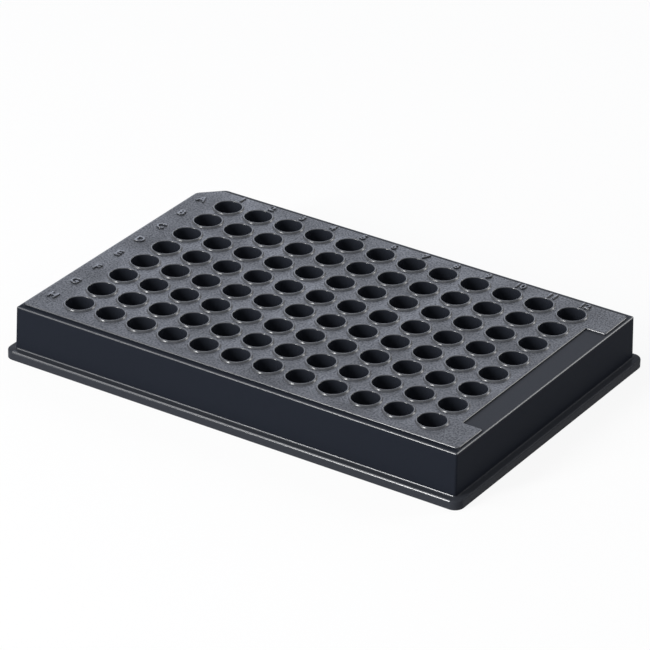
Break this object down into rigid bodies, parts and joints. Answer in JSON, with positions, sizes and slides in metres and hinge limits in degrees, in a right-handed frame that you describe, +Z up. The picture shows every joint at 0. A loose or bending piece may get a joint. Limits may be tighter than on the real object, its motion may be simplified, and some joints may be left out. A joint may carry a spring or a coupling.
{
  "type": "microplate",
  "caption": "Flat rectangular microplate moulded in one piece, with a grid of round flat-bottomed wells with raised rims, a skirt with a footprint flange and one cut corner.",
  "frame": {"origin": "middle of the footprint, on the surface that the plate stands on", "axes": "+X along the rows from column 1 to column 12, +Y from row H to row A, +Z up out of the wells"},
  "size_m": [0.1278, 0.0854, 0.0143],
  "materials": {
    "polystyrene": "glossy moulded walls and wells, satin grained deck"
  },
  "bodies": {
    "root": {"microplate": "polystyrene"}
  },
  "joints": []
}
